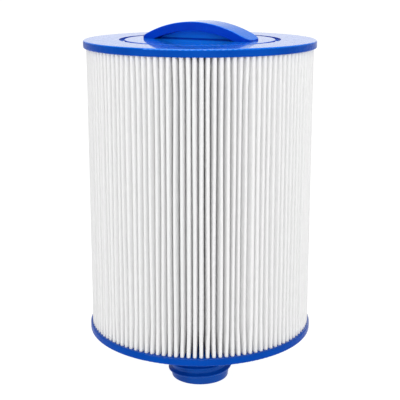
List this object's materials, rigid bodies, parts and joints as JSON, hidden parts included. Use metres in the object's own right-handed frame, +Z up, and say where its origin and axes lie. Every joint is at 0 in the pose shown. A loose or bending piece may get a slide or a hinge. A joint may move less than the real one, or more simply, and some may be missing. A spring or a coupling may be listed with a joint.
{
  "type": "pleated filter cartridge",
  "caption": "Pleated round filter cartridge with cast end caps, a fixed arched handle on top and a coarse-threaded outlet below.",
  "frame": {"origin": "centre of the threaded fitting's lower end, which is the lowest point of the cartridge", "axes": "+Z up along the cartridge from the outlet to the handle; +X along the handle's long side"},
  "size_m": [0.152, 0.152, 0.2458],
  "materials": {
    "cap_cast": "glossy cast polyurethane",
    "handle_plastic": "glossy injection moulding",
    "fitting_plastic": "satin injection moulding",
    "core_plastic": "plain white moulding",
    "filter_media": "spunbonded polyester, matte with fine random fibres",
    "seam_adhesive": "set adhesive, slightly translucent"
  },
  "bodies": {
    "root": {"top_end_cap": "cap_cast", "bottom_end_cap": "cap_cast", "handle_plate": "handle_plastic", "threaded_fitting": "fitting_plastic", "center_core": "core_plastic", "pleated_media": "filter_media", "seam_strip": "seam_adhesive"}
  },
  "joints": []
}
